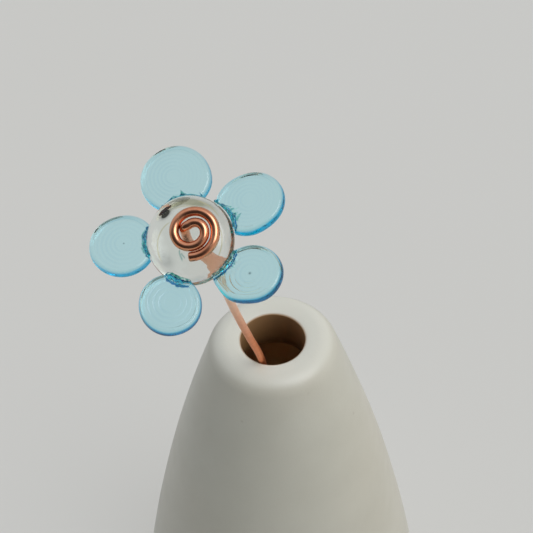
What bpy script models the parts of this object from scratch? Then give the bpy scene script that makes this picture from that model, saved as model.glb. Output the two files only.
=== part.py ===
"""A glass flower on a bare copper wire, standing in a conical ceramic bottle.

The bottle stands on z = 0 with its axis on Z. The flower is built in its own frame, whose Z axis is
the way its petals face. Its glass centre and the wire's spiral have a frame of their own on the same
middle, because the centre is fused at a small angle to the petals. Lengths are metres.
"""
import math

import bmesh
import bpy
from mathutils import Matrix, Vector

# Gaps kept between pieces that touch: the wire's seats, and the fused edge of each petal.
SEAT_GAP = 0.0003
FUSED_GAP = 0.00042

# Bottle: a hollow cone with a slightly convex wall, a flat foot and a thick rounded lip.
BOTTLE_HEIGHT = 0.125
BOTTLE_SIDES = 56
LIP_CROWN_RADIUS = 0.0132
LIP_ROUND = 0.0061
LIP_SWEEP = math.radians(72)
MOUTH_RADIUS = 0.0094
MOUTH_ROUND_DEPTH = 0.0008
WALL_FLARE = 0.327
WALL_CONVEXITY = 0.81
WALL_THICKNESS = 0.0042
SHOULDER_DEPTH = 0.030
THROAT_DEPTH = 0.009
FLOOR_THICKNESS = 0.005
FLOOR_ROUND = 0.004
FOOT_ROUND = 0.0025

# Wire: one length of 2.05 mm copper, from the cut end of its spiral to its end inside the bottle.
WIRE_RADIUS = 0.001025
WIRE_STEP = 0.0048
BEND_REACH = 0.0026
SPIRAL_CENTRE = (0.00219, 0.0)
SPIRAL_STEP = math.radians(17)
# Turn angle in degrees and radius of the spiral's centreline, from the cut end inwards.
SPIRAL_SHAPE = (
    (232, 0.00545),
    (250, 0.00510),
    (288, 0.00466),
    (331, 0.00438),
    (424, 0.00434),
    (514, 0.00425),
    (551, 0.00393),
    (606, 0.00300),
    (648, 0.00248),
    (689, 0.00222),
    (750, 0.00205),
    (781, 0.00190),
    (820, 0.00183),
)
# Points the stem passes through below the flower, down to its end on the bottle's floor.
STEM_ROUTE = (
    (-0.0140, -0.0465, 0.2093),
    (-0.0120, -0.0416, 0.1983),
    (-0.0099, -0.0316, 0.1767),
    (-0.0080, -0.0235, 0.1597),
    (-0.0061, -0.0166, 0.1450),
    (-0.0033, -0.0070, 0.1235),
    (-0.0010, 0.0090, 0.0850),
    (0.0025, 0.0240, 0.0450),
    (0.0060, 0.0372, 0.0057),
)

# Flower frame: the middle of the glass centre, the way the flower faces and its own Y axis.
FLOWER_MIDDLE = (-0.0166, -0.0498, 0.2173)
FLOWER_FACING = (-0.1126, -0.3757, 0.9199)
FLOWER_UP = (-0.386, 0.870, 0.308)

# Glass centre: a full dome in front and a shallow back, turned about the flower's X and then its Y.
CENTRE_RADIUS = 0.0094
CENTRE_STRETCH = 1.03
CENTRE_FRONT = 0.0048
CENTRE_BACK = 0.0012
CENTRE_FULLNESS = 2.4
CENTRE_TURN = (math.radians(10), math.radians(-8))
CENTRE_SIDES = 40

# Bore for the wire through the glass centre, between a point on its axis in front and one behind.
BORE_FRONT = Vector((0.00040, 0.00150, 0.0046))
BORE_BACK = Vector((-0.00047, -0.00045, -0.0019))
BORE_CLEARANCE = 0.00042

# Petals: pressed discs with rounded rims.
PETAL_THICKNESS = 0.0025
PETAL_SIDES = 44
# Name, distance from the middle, bearing, disc radius, tip towards the middle, twist about the spoke.
PETALS = (
    ("petal_upper_right", 0.0148, 7, 0.00775, 2, 9),
    ("petal_top", 0.0149, 79, 0.00785, 3, -2),
    ("petal_left", 0.0147, 156, 0.00730, 4, -4),
    ("petal_lower_left", 0.0148, 228, 0.00680, 2, 9),
    ("petal_lower_right", 0.0152, 301, 0.00710, 10, 1),
)


def clear_scene():
    for obj in list(bpy.data.objects):
        bpy.data.objects.remove(obj, do_unlink=True)


def make_material(name, colour, roughness, metallic=0.0):
    material = bpy.data.materials.new(name)
    material.use_nodes = True
    shader = material.node_tree.nodes["Principled BSDF"]
    shader.inputs["Base Color"].default_value = (*colour, 1.0)
    shader.inputs["Roughness"].default_value = roughness
    shader.inputs["Metallic"].default_value = metallic
    return material


def arc(centre, radii, start, end, steps):
    """Points on an elliptical arc in the (r, z) half plane, from start to end degrees."""
    points = []
    for step in range(steps + 1):
        angle = math.radians(start + (end - start) * step / steps)
        radius = centre[0] + radii[0] * math.cos(angle)
        height = centre[1] + radii[1] * math.sin(angle)
        points.append((max(radius, 0.0), height))
    return points


def turned_mesh(name, profile, sides):
    """A closed solid turned about Z from a profile that starts and ends on the axis."""
    shape = bmesh.new()
    rings = []
    for radius, height in profile:
        if radius < 1e-7:
            rings.append([shape.verts.new((0.0, 0.0, height))])
            continue
        ring = []
        for side in range(sides):
            angle = 2 * math.pi * side / sides
            ring.append(shape.verts.new((radius * math.cos(angle), radius * math.sin(angle), height)))
        rings.append(ring)
    for lower, upper in zip(rings, rings[1:]):
        for side in range(sides):
            following = (side + 1) % sides
            if len(lower) == 1:
                shape.faces.new((lower[0], upper[following], upper[side]))
            elif len(upper) == 1:
                shape.faces.new((lower[side], lower[following], upper[0]))
            else:
                shape.faces.new((lower[side], lower[following], upper[following], upper[side]))
    bmesh.ops.recalc_face_normals(shape, faces=shape.faces)
    mesh = bpy.data.meshes.new(name)
    shape.to_mesh(mesh)
    shape.free()
    mesh.shade_smooth()
    mesh.set_sharp_from_angle(angle=math.radians(40))
    return mesh


def add_object(name, data, material=None):
    obj = bpy.data.objects.new(name, data)
    bpy.context.scene.collection.objects.link(obj)
    if material is not None:
        data.materials.append(material)
    return obj


def make_cutter(obj):
    obj.hide_render = True
    obj.display_type = "WIRE"


def cut(obj, cutter):
    boolean = obj.modifiers.new("cut_" + cutter.name, "BOOLEAN")
    boolean.operation = "DIFFERENCE"
    boolean.solver = "EXACT"
    boolean.object = cutter


def wall_radius(depth):
    """Outer radius of the bottle's wall at a depth below the top of the lip."""
    start_radius = LIP_CROWN_RADIUS + LIP_ROUND * math.sin(LIP_SWEEP)
    run = depth - LIP_ROUND * (1 - math.cos(LIP_SWEEP))
    return start_radius + WALL_FLARE * run - WALL_CONVEXITY * run * run


def inner_radius(depth):
    """Inner radius of the bottle, which widens from the throat to the inside of the wall."""
    full = wall_radius(depth) - WALL_THICKNESS
    blend = min(max((depth - THROAT_DEPTH) / (SHOULDER_DEPTH - THROAT_DEPTH), 0.0), 1.0)
    blend = blend * blend * (3 - 2 * blend)
    return MOUTH_RADIUS + (full - MOUTH_RADIUS) * blend


def spread(start, end, steps):
    return [start + (end - start) * step / steps for step in range(steps + 1)]


def bottle_profile():
    top = BOTTLE_HEIGHT
    foot_radius = wall_radius(top - FOOT_ROUND)
    profile = [(0.0, 0.0)]
    profile += arc((foot_radius - FOOT_ROUND, FOOT_ROUND), (FOOT_ROUND, FOOT_ROUND), -90, 0, 4)
    lip_edge = LIP_ROUND * (1 - math.cos(LIP_SWEEP))
    for depth in spread(top - 2 * FOOT_ROUND, lip_edge, 9)[:-1]:
        profile.append((wall_radius(depth), top - depth))
    sweep = math.degrees(LIP_SWEEP)
    profile += arc((LIP_CROWN_RADIUS, top - LIP_ROUND), (LIP_ROUND, LIP_ROUND), 90 - sweep, 90, 6)
    mouth_round = LIP_CROWN_RADIUS - MOUTH_RADIUS
    mouth_arc = arc((LIP_CROWN_RADIUS, top - MOUTH_ROUND_DEPTH), (mouth_round, MOUTH_ROUND_DEPTH), 90, 180, 5)
    profile += mouth_arc[1:]
    for depth in spread(THROAT_DEPTH, SHOULDER_DEPTH, 5):
        profile.append((inner_radius(depth), top - depth))
    floor_depth = top - FLOOR_THICKNESS
    for depth in spread(SHOULDER_DEPTH, floor_depth - FLOOR_ROUND, 6)[1:-1]:
        profile.append((inner_radius(depth), top - depth))
    floor_radius = inner_radius(floor_depth - FLOOR_ROUND) - FLOOR_ROUND
    profile += arc((floor_radius, FLOOR_THICKNESS + FLOOR_ROUND), (FLOOR_ROUND, FLOOR_ROUND), 0, -90, 4)
    profile.append((0.0, FLOOR_THICKNESS))
    return profile


def build_bottle():
    mesh = turned_mesh("bottle", bottle_profile(), BOTTLE_SIDES)
    return add_object("bottle", mesh, make_material("off_white_glaze", (0.60, 0.58, 0.52), 0.55))


def flower_matrix():
    facing = Vector(FLOWER_FACING).normalized()
    across = Vector(FLOWER_UP).cross(facing).normalized()
    upward = facing.cross(across)
    matrix = Matrix((across, upward, facing)).transposed().to_4x4()
    matrix.translation = Vector(FLOWER_MIDDLE)
    return matrix


def centre_matrix():
    turn_x = Matrix.Rotation(CENTRE_TURN[0], 4, "X")
    turn_y = Matrix.Rotation(CENTRE_TURN[1], 4, "Y")
    return flower_matrix() @ turn_x @ turn_y


def full_arc(radius, height, fullness, start, end, steps):
    """A quarter of a superellipse in the (r, z) half plane, from start to end degrees."""
    points = []
    for angle in spread(math.radians(start), math.radians(end), steps):
        across = max(math.cos(angle), 0.0) ** (2 / fullness)
        along = abs(math.sin(angle)) ** (2 / fullness)
        points.append((radius * across, math.copysign(height * along, angle)))
    return points


def centre_profile(gap=0.0):
    """Half outline of the glass centre, from its back to its front, grown by a gap."""
    radius = CENTRE_RADIUS + gap
    profile = full_arc(radius, CENTRE_BACK + gap, 2, -90, 0, 6)
    profile += full_arc(radius, CENTRE_FRONT + gap, CENTRE_FULLNESS, 0, 90, 10)[1:]
    return profile


def stretched_centre(name, gap=0.0):
    mesh = turned_mesh(name, centre_profile(gap), CENTRE_SIDES)
    mesh.transform(Matrix.Diagonal((1.0, CENTRE_STRETCH, 1.0, 1.0)))
    return mesh


def build_glass_centre(place):
    glass = make_material("clear_glass", (0.86, 0.90, 0.87), 0.05)
    centre = add_object("glass_centre", stretched_centre("glass_centre"), glass)
    centre.matrix_world = place
    bore_radius = WIRE_RADIUS + BORE_CLEARANCE
    reach = 2 * CENTRE_FRONT
    bore_profile = [(0.0, -reach), (bore_radius, -reach), (bore_radius, reach), (0.0, reach)]
    bore = add_object("wire_bore", turned_mesh("wire_bore", bore_profile, 20))
    bore_turn = (BORE_FRONT - BORE_BACK).to_track_quat("Z", "Y").to_matrix().to_4x4()
    bore.matrix_world = place @ Matrix.Translation((BORE_FRONT + BORE_BACK) / 2) @ bore_turn
    make_cutter(bore)
    cut(centre, bore)
    return centre


def petal_mesh(name, radius):
    half = PETAL_THICKNESS / 2
    profile = [(0.0, -half)]
    profile += arc((radius - half, 0.0), (half, half), -90, 90, 7)
    profile.append((0.0, half))
    return turned_mesh(name, profile, PETAL_SIDES)


def build_petals(place, centre_place):
    """Five discs round the centre, each cut back to a close fit along the centre's outline."""
    glass = make_material("pale_blue_glass", (0.36, 0.62, 0.68), 0.08)
    clearance = add_object("centre_clearance", stretched_centre("centre_clearance", FUSED_GAP))
    clearance.matrix_world = centre_place
    make_cutter(clearance)
    for name, distance, bearing, radius, tip, twist in PETALS:
        petal = add_object(name, petal_mesh(name, radius), glass)
        spoke = Matrix.Rotation(math.radians(bearing), 4, "Z")
        lean = Matrix.Rotation(math.radians(-tip), 4, "Y") @ Matrix.Rotation(math.radians(-twist), 4, "X")
        petal.matrix_world = place @ spoke @ Matrix.Translation((distance, 0.0, 0.0)) @ lean
        cut(petal, clearance)


def smooth_curve(points, step):
    """A Catmull-Rom curve through the points, sampled about one step apart."""
    ends = [points[0] * 2 - points[1]] + list(points) + [points[-1] * 2 - points[-2]]
    samples = [points[0]]
    for before, start, end, after in zip(ends, ends[1:], ends[2:], ends[3:]):
        count = max(1, round((end - start).length / step))
        for index in range(1, count + 1):
            t = index / count
            samples.append(0.5 * (2 * start + (end - before) * t
                                  + (2 * before - 5 * start + 4 * end - after) * t * t
                                  + (3 * start - before - 3 * end + after) * t * t * t))
    return samples


def spiral_radius(angle):
    """Radius of the spiral at a turn angle, eased between the shape's own values."""
    for (start, first), (end, second) in zip(SPIRAL_SHAPE, SPIRAL_SHAPE[1:]):
        if angle <= end:
            return first + (second - first) * (angle - start) / (end - start)
    return SPIRAL_SHAPE[-1][1]


def height_on_centre(x, y):
    """Height of the wire's centreline where it lies on the dome, at a place in the centre's frame."""
    across = x / CENTRE_RADIUS
    along = y / (CENTRE_RADIUS * CENTRE_STRETCH)
    out = math.hypot(across, along)
    rise = (1 - out ** CENTRE_FULLNESS) ** (1 / CENTRE_FULLNESS)
    fall = CENTRE_FRONT * (out / rise) ** (CENTRE_FULLNESS - 1) / out
    slope = fall * math.hypot(across / CENTRE_RADIUS, along / (CENTRE_RADIUS * CENTRE_STRETCH))
    return CENTRE_FRONT * rise + (WIRE_RADIUS + SEAT_GAP) * math.hypot(1, slope)


def spiral_points():
    """The spiral on the dome, in the centre's frame, from the cut end to where the wire turns in."""
    first = SPIRAL_SHAPE[0][0]
    last = SPIRAL_SHAPE[-1][0]
    count = round(math.radians(last - first) / SPIRAL_STEP)
    points = []
    for angle in spread(first, last, count):
        radius = spiral_radius(angle)
        x = SPIRAL_CENTRE[0] + radius * math.cos(math.radians(angle))
        y = SPIRAL_CENTRE[1] + radius * math.sin(math.radians(angle))
        points.append(Vector((x, y, height_on_centre(x, y))))
    return points


def bend_points(spiral):
    """A bend from the end of the spiral into the top of the bore, tangent to both."""
    leaving = (spiral[-1] - spiral[-2]).normalized() * BEND_REACH
    entering = (BORE_BACK - BORE_FRONT).normalized() * BEND_REACH
    points = []
    for t in spread(0, 1, 7)[1:]:
        points.append(spiral[-1] * (2 * t ** 3 - 3 * t ** 2 + 1) + leaving * (t ** 3 - 2 * t ** 2 + t)
                      + BORE_FRONT * (3 * t ** 2 - 2 * t ** 3) + entering * (t ** 3 - t ** 2))
    return points


def build_wire(place):
    spiral = spiral_points()
    front = spiral + bend_points(spiral)
    stem = [place @ BORE_FRONT, place @ BORE_BACK]
    stem += [Vector(point) for point in STEM_ROUTE]
    route = [place @ point for point in front] + smooth_curve(stem, WIRE_STEP)[1:]
    curve = bpy.data.curves.new("copper_wire", "CURVE")
    curve.dimensions = "3D"
    curve.bevel_depth = WIRE_RADIUS
    curve.bevel_resolution = 2
    curve.use_fill_caps = True
    spline = curve.splines.new("POLY")
    spline.points.add(len(route) - 1)
    for point, position in zip(spline.points, route):
        point.co = (*position, 1.0)
    return add_object("copper_wire", curve, make_material("copper", (0.58, 0.28, 0.17), 0.3, 1.0))


def build_all():
    clear_scene()
    flower_place = flower_matrix()
    centre_place = centre_matrix()
    build_bottle()
    build_glass_centre(centre_place)
    build_petals(flower_place, centre_place)
    build_wire(centre_place)


build_all()
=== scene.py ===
"""Looks of a glass flower on a bare copper wire, standing in a conical ceramic bottle.

The bottle stands on z = 0 with its axis on Z. The flower is built in its own frame, whose Z axis is
the way its petals face. Its glass centre and the wire's spiral share a second frame on the same
middle, because the centre is fused at a small angle to the petals. Lengths are metres.
"""
import math
import random
from dataclasses import dataclass

import bmesh
import bpy
import numpy as np
from mathutils import Matrix, Vector


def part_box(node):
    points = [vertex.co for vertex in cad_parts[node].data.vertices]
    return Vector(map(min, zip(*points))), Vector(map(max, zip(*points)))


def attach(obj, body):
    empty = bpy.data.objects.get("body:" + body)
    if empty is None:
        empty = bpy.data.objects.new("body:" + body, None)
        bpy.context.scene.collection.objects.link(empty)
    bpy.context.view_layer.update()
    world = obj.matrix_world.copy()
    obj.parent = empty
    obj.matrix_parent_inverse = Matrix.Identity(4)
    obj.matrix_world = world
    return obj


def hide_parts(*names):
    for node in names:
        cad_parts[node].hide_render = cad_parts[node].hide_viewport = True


# Bottle wall and lip, as in the frame, with a finer surface and a slightly uneven, hand-turned skin.
# The top of the lip is painted paler, as painted light, down to a depth of its own.
BOTTLE_SIDES = 200
LIP_CROWN_RADIUS = 0.0132
LIP_ROUND = 0.0061
LIP_SWEEP = math.radians(72)
LIP_PAINTED_LIGHT_DEPTH = 0.0022
MOUTH_RADIUS = 0.0094
MOUTH_ROUND_DEPTH = 0.0008
WALL_FLARE = 0.327
WALL_CONVEXITY = 0.81
WALL_THICKNESS = 0.0042
SHOULDER_DEPTH = 0.030
THROAT_DEPTH = 0.009
FLOOR_THICKNESS = 0.005
FLOOR_ROUND = 0.004
FOOT_ROUND = 0.0025
WALL_UNEVENNESS = 0.00022
UNEVEN_TURN_PER_METRE = 40
THROAT_RINGS = 8
# How far inside each stretch of the profile starts and ends, which sets its glaze and the shade painted
# darker down the throat: 0 outside the lip's crown, 1 in the belly.
INSIDE_MOUTH = (0, 0.28)
INSIDE_THROAT = (0.30, 0.5)
INSIDE_SHOULDER = (0.52, 1)
INSIDE_BELLY = (1, 1)

# Wire: its spiral lies on the glass centre, pressed a little into it. Its radius swells and shrinks by
# a small share along its length, its cut ends are rounded, and drawing has left fine lines along it.
WIRE_RADIUS = 0.001025
WIRE_SIDES = 28
WIRE_PRESS = 0.00010
WIRE_END_ROUND = 0.00022
WIRE_SWELL = 0.008
WIRE_SWELL_STEP = 0.0025
WIRE_SEED = 21
DRAWN_LINES_ROUND = 9
DRAWN_LINE_LENGTH = 0.004
SPIRAL_POINT_STEP = 0.00018
STEM_POINT_STEP = 0.0006
BEND_REACH = 0.0026
SPIRAL_CENTRE = (0.00219, 0.0)
SPIRAL_STEP = math.radians(17)
BEND_STEPS = 7
# The stem's finish starts at a share of its own, which it reaches in its first points.
STEM_START_SHARE = 0.4
STEM_START_POINTS = 12
# Turn angle in degrees and radius of the spiral's centreline, from the cut end inwards.
SPIRAL_SHAPE = ((232, 0.00545), (250, 0.00510), (288, 0.00466), (331, 0.00438), (424, 0.00434),
                (514, 0.00425), (551, 0.00393), (606, 0.00300), (648, 0.00248), (689, 0.00222),
                (750, 0.00205), (781, 0.00190), (820, 0.00183))
# Points the stem passes through below the flower, down to its end on the bottle's floor.
STEM_ROUTE = (
    (-0.0140, -0.0465, 0.2093),
    (-0.0120, -0.0416, 0.1983),
    (-0.0099, -0.0316, 0.1767),
    (-0.0080, -0.0235, 0.1597),
    (-0.0061, -0.0166, 0.1450),
    (-0.0033, -0.0070, 0.1235),
    (-0.0010, 0.0090, 0.0850),
    (0.0025, 0.0240, 0.0450),
    (0.0060, 0.0372, 0.0057),
)
BORE_FRONT = Vector((0.00040, 0.00150, 0.0046))
BORE_BACK = Vector((-0.00047, -0.00045, -0.0019))

# Flower frame: the middle of the glass centre, the way the flower faces and its own Y axis.
FLOWER_MIDDLE = (-0.0166, -0.0498, 0.2173)
FLOWER_FACING = (-0.1126, -0.3757, 0.9199)
FLOWER_UP = (-0.386, 0.870, 0.308)

# Glass centre: a full dome in front and a shallow back, turned about the flower's X and then its Y.
CENTRE_RADIUS = 0.0094
CENTRE_STRETCH = 1.03
CENTRE_FRONT = 0.0048
CENTRE_BACK = 0.0012
CENTRE_FULLNESS = 2.4
CENTRE_TURN = (math.radians(10), math.radians(-8))
CENTRE_SIDES = 240
# Painted shade pooled in the centre's glass, each as (bearing in its frame, spread in degrees, share of
# the radius, spread as a share, strength): grey pools, mostly near its edge, olive ones where the glass
# shows the bottle's shaded side, and a dark one where it shows the bottle's dark mouth. Its fine cords are
# (first bearing, last bearing, share of the radius at each, width as a share), and fade at both ends.
GREY_PAINTED_SHADE = ((200, 17, 0.68, 0.16, 1.3), (257, 14, 0.92, 0.07, 0.9), (328, 12, 0.95, 0.06, 0.8),
              (5, 10, 0.92, 0.05, 0.25))
OLIVE_PAINTED_SHADE = ((56, 22, 0.80, 0.08, 1.8), (86, 14, 0.78, 0.06, 0.9), (28, 14, 0.88, 0.06, 0.5),
               (0, 30, 0.86, 0.10, 0.30))
DARK_PAINTED_SHADE = ((106, 10, 0.72, 0.075, 2.2),)
AMBER_CORDS = ((106, 200, 0.48, 0.79, 0.013), (300, 350, 0.81, 0.77, 0.012), (5, 50, 0.85, 0.86, 0.010),
               (45, 90, 0.71, 0.69, 0.010))
TEAL_CORDS = ((214, 236, 0.30, 0.52, 0.035), (226, 242, 0.36, 0.46, 0.022),
              (300, 12, 0.985, 0.985, 0.016))
CORD_FADE = 0.15

# Petals: pressed discs, rounded more in front than behind, with a soft bead and fine rings inside it.
PETAL_THICKNESS = 0.0025
PETAL_SIDES = 240
PETAL_SEED = 100
FRONT_ROUND = 0.0010
BACK_ROUND = 0.0008
WIDEST_LEVEL = -0.2
OUTLINE_TRIM = 0.00006
OUTLINE_UNEVENNESS = 0.005
OUTLINE_WAVES = 7
BEAD_WIDTH = 0.0013
BEAD_CREST = 0.35
PRESSED_DEPTH = 0.00008
GROOVE_DEPTH = 0.000030
GROOVE_WIDTH = 0.00016
# The rings, their grooves and the shade painted along them, start at a distance from their middle and
# weaken towards the rim, between two shares of the disc's radius. They are strongest on one side of the
# flower.
RINGS_START = (0.0006, 0.0020)
RINGS_WEAKEN = (0.65, 0.95)
RINGS_LOSS = 0.6
RINGS_BEST_SIDE = math.radians(160)
RINGS_SIDE_COSINES = (-0.4, 0.8)
RINGS_LEAST = 0.4
RINGS_MORE = 0.5
# The rim's painted blue, which stands in for the deeper colour and shade that light gives the glass at its
# edge, starts inside the edge, is full just short of it, and is deepest on one side of the flower.
RIM_COLOUR_WIDTH = 0.00075
RIM_COLOUR_FULL = 0.0001
RIM_PAINTED_DEEPEST_SIDE = math.radians(-75)
RIM_SIDE_COSINES = (-0.7, 0.5)
# Mesh of a petal: rings from the face over the climb and the rim to the back.
FACE_START = 0.008
FACE_RINGS = 110
CLIMB_RINGS = 12
CLIMB_RUN = 0.0003
CLIMB_FALL = 0.8
RIM_RINGS = 26
BACK_RINGS = 12
BACK_END = 0.05
# Rays from a petal's axis that find the glass centre, as a share of the disc's radius.
RAY_REACH = 1.3
RAY_STEPS = 400
# Fused seam: the petal's glass drawn up over the rim of the centre and broken into facets. A petal
# counts as fused where its outline reaches past the centre's surface. Behind its front the fused edge
# stops short of that surface: the levels here run from -1 at the front to 1 at the back.
FUSED_OVERLAP = (-0.0002, 0.0006)
SHORT_LEVELS = (-1.1, -0.6)
FUSED_GAP = 0.00005
FUSED_DEPTH = 0.00030
FACET_TURN = 6
FACET_TURN_UNEVENNESS = 0.03
FACET_LEVELS = 5
FACET_DEPTH = 0.00030
FACE_FACETS = 18
RAGGED_ROWS = 4
SEAM_RISE = 0.00024
SEAM_LEAST_RISE = 0.8
SEAM_LEAST_WIDTH = 0.55
SEAM_SHARPNESS = 0.9
SEAM_BLUR = 0.00004
SPIKE_WIDTH = 9


@dataclass
class Petal:
    """One pressed disc. Bearings on it start at its outer end; angles are in degrees."""
    name: str
    distance: float     # of its middle from the flower's
    bearing: float      # of its spoke in the flower
    radius: float
    tip: float          # towards the flower's middle
    twist: float        # about its spoke
    ring_pitch: float
    ring_middle: tuple  # place on the disc
    swells: tuple       # of the outline: bearing, rise, spread
    seam_width: float
    seam_rise: float
    spikes: tuple       # of the seam over the face: bearing, length
    rim_painted_depth: float    # deepest painted colour of the rim, where 1 is the darkest blue
    rim_least: float    # its share on the pale side of the rim
    face_painted_depth: float = 0.0     # depth of the rim's painted colour over the whole face, as painted shade
    speck_radius: float = 0.0   # of a dark speck at the middle of the rings
    cyan_highlight_bearing: float = 0.0   # of a painted highlight: a stretch of bright cyan along the rim
    cyan_highlight_spread: float = 0.0    # of that stretch


PETALS = (
    Petal("petal_upper_right", distance=0.0148, bearing=7, radius=0.00775, tip=2, twist=9,
          ring_pitch=0.00090, ring_middle=(0.0002, 0.0001),
          swells=((80, -0.00042, 40), (275, -0.00033, 32)),
          seam_width=0.0010, seam_rise=0.0003, spikes=((163, 0.0013), (196, 0.0016)),
          rim_painted_depth=0.85, rim_least=0.35),
    Petal("petal_top", distance=0.0149, bearing=79, radius=0.00785, tip=3, twist=-2,
          ring_pitch=0.00085, ring_middle=(0.0001, 0.0003),
          swells=((25, -0.00026, 50), (245, 0.00022, 22)),
          seam_width=0.0008, seam_rise=0.0005, spikes=((190, 0.0011), (160, 0.0005)),
          rim_painted_depth=0.75, rim_least=0.40),
    Petal("petal_left", distance=0.0147, bearing=156, radius=0.00730, tip=4, twist=-4,
          ring_pitch=0.00095, ring_middle=(-0.0004, 0.0002),
          swells=((290, -0.00036, 38), (115, 0.00008, 35)),
          seam_width=0.0012, seam_rise=0.0003, spikes=((205, 0.0005),),
          rim_painted_depth=0.85, rim_least=0.55, speck_radius=0.00016),
    Petal("petal_lower_left", distance=0.0148, bearing=228, radius=0.00680, tip=2, twist=9,
          ring_pitch=0.00115, ring_middle=(-0.0002, 0.0002),
          swells=((80, 0.00020, 35), (295, -0.00033, 48)),
          seam_width=0.0005, seam_rise=0.00035, spikes=((165, 0.0003),),
          rim_painted_depth=1.0, rim_least=0.80, face_painted_depth=0.12),
    Petal("petal_lower_right", distance=0.0152, bearing=301, radius=0.00710, tip=10, twist=1,
          ring_pitch=0.00105, ring_middle=(0.0003, 0.0001),
          swells=((300, -0.00075, 38), (205, 0.00125, 22), (35, 0.00015, 30)),
          seam_width=0.0009, seam_rise=0.0008, spikes=((175, 0.0005), (150, 0.0004)),
          rim_painted_depth=1.0, rim_least=0.60, speck_radius=0.00030, cyan_highlight_bearing=246, cyan_highlight_spread=17),
)

# Floor: its colour, how much of its paleness is its own rather than the light's, and how much cooler
# it is where it is seen through glass.
FLOOR_COLOUR = (0.616, 0.614, 0.589)
FLOOR_SHADE = (0.606, 0.604, 0.576)
FLOOR_EVENNESS = 0.7
FLOOR_THROUGH_GLASS = (0.99, 1.0, 1.05)
FLOOR_RADIUS = 4.0
FLOOR_SIDES = 64

# Light from all round, in lobes about a direction: the cosines of the angle to it between which the
# value changes, and the value at each. The sky and the window add up, and the shade dims them. The
# light is cool, and turns warm towards the warm side.
SKY = ((0, 0, 1), 0.70, 1.0, 0.58, 0.82)
WINDOW = ((0.44, -0.25, 0.86), 0.89, 0.97, 0.0, 3.2)
SHADE = ((-0.48, -0.82, 0.30), 0.30, 0.85, 1.0, 0.10)
WARM_SIDE = ((1.0, -0.2, 0.1), 0.2, 0.9, 0.0, 1.0)
COOL_LIGHT = (0.96, 1.0, 1.10)
WARM_LIGHT = (1.00, 0.97, 0.95)

# Colour of the backdrop behind the floor, seen only from low down.
BACKDROP_COLOUR = (0.580, 0.580, 0.556)

# Camera: above the flower and in front of it, a little rolled.
CAMERA_PLACE = (-0.00088, -0.25205, 0.42483)
CAMERA_ELEVATION = math.radians(46.96)
CAMERA_ROLL = math.radians(-2.478)
CAMERA_ANGLE = math.radians(22)
CAMERA_NEAR = 0.01

# Bounces of light: many inside the rims of glass, fewer between the bottle's walls.
GLASS_BOUNCES = 32
WALL_BOUNCES = 16


# ---------------- mesh helpers

def add_object(name, data, *materials):
    piece = bpy.data.objects.new(name, data)
    bpy.context.scene.collection.objects.link(piece)
    for material in materials:
        data.materials.append(material)
    return piece


def ring_mesh(name, rings, first, last):
    """A closed smooth mesh through rings of points, drawn together to one point at each end."""
    rings = np.asarray(rings, float)
    count, sides = rings.shape[:2]
    points = np.concatenate((rings.reshape(-1, 3), [tuple(first), tuple(last)]))
    side = np.arange(sides)
    following = (side + 1) % sides
    faces = [(len(points) - 2, b, a) for a, b in zip(side, following)]
    for row in range(count - 1):
        near = row * sides
        far = near + sides
        faces += zip(near + side, near + following, far + following, far + side)
    end = (count - 1) * sides
    faces += [(end + a, end + b, len(points) - 1) for a, b in zip(side, following)]
    mesh = bpy.data.meshes.new(name)
    mesh.from_pydata(points.tolist(), [], [tuple(map(int, face)) for face in faces])
    shape = bmesh.new()
    shape.from_mesh(mesh)
    bmesh.ops.recalc_face_normals(shape, faces=shape.faces)
    shape.to_mesh(mesh)
    shape.free()
    mesh.shade_smooth()
    return mesh


def point_values(mesh, name, values, first=0, last=0):
    """Stores a grid of values, ring by ring, and the two end points' own as an attribute."""
    attribute = mesh.attributes.new(name, "FLOAT", "POINT")
    attribute.data.foreach_set("value", np.append(np.ravel(values), (first, last)).astype(np.float32))


def ring_values(mesh, name, rings, sides, first, last):
    """Stores one value for each ring, and the two end points' own, as an attribute."""
    point_values(mesh, name, np.repeat(np.asarray(rings, float), sides), first, last)


def spread(start, end, steps):
    return [start + (end - start) * step / steps for step in range(steps + 1)]


def smooth_step(value, low, high):
    blend = np.clip((value - low) / (high - low), 0.0, 1.0)
    return blend * blend * (3 - 2 * blend)


def turn_angles(sides):
    return np.linspace(0, 2 * math.pi, sides, endpoint=False)


def level_ring(angles, out, height, stretch=1.0):
    """Points round Z at one height, or at a height for each, stretched along Y."""
    across = out * np.cos(angles)
    along = out * stretch * np.sin(angles)
    return np.stack((across, along, height + np.zeros_like(angles)), -1)


def apart(angles, degrees):
    """How far angles lie from a bearing, in degrees either way."""
    return np.abs((np.degrees(angles) - degrees + 180) % 360 - 180)


def wander(seed, count):
    """A smooth random function of an angle, between -1 and 1, that closes on itself."""
    draw = random.Random(seed)
    waves = [(k, draw.uniform(-1, 1), draw.uniform(0, 2 * math.pi)) for k in range(1, count + 1)]
    total = sum(abs(size) for _, size, _ in waves)
    return lambda angle: sum(size * np.cos(k * angle + phase) for k, size, phase in waves) / total


def smooth_curve(points, step):
    """A Catmull-Rom curve through the points, sampled about one step apart."""
    ends = [points[0] * 2 - points[1]] + list(points) + [points[-1] * 2 - points[-2]]
    samples = [points[0]]
    for before, start, end, after in zip(ends, ends[1:], ends[2:], ends[3:]):
        count = max(1, round((end - start).length / step))
        for index in range(1, count + 1):
            t = index / count
            samples.append(0.5 * (2 * start + (end - before) * t
                                  + (2 * before - 5 * start + 4 * end - after) * t * t
                                  + (3 * start - before - 3 * end + after) * t * t * t))
    return samples


# ---------------- materials

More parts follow.
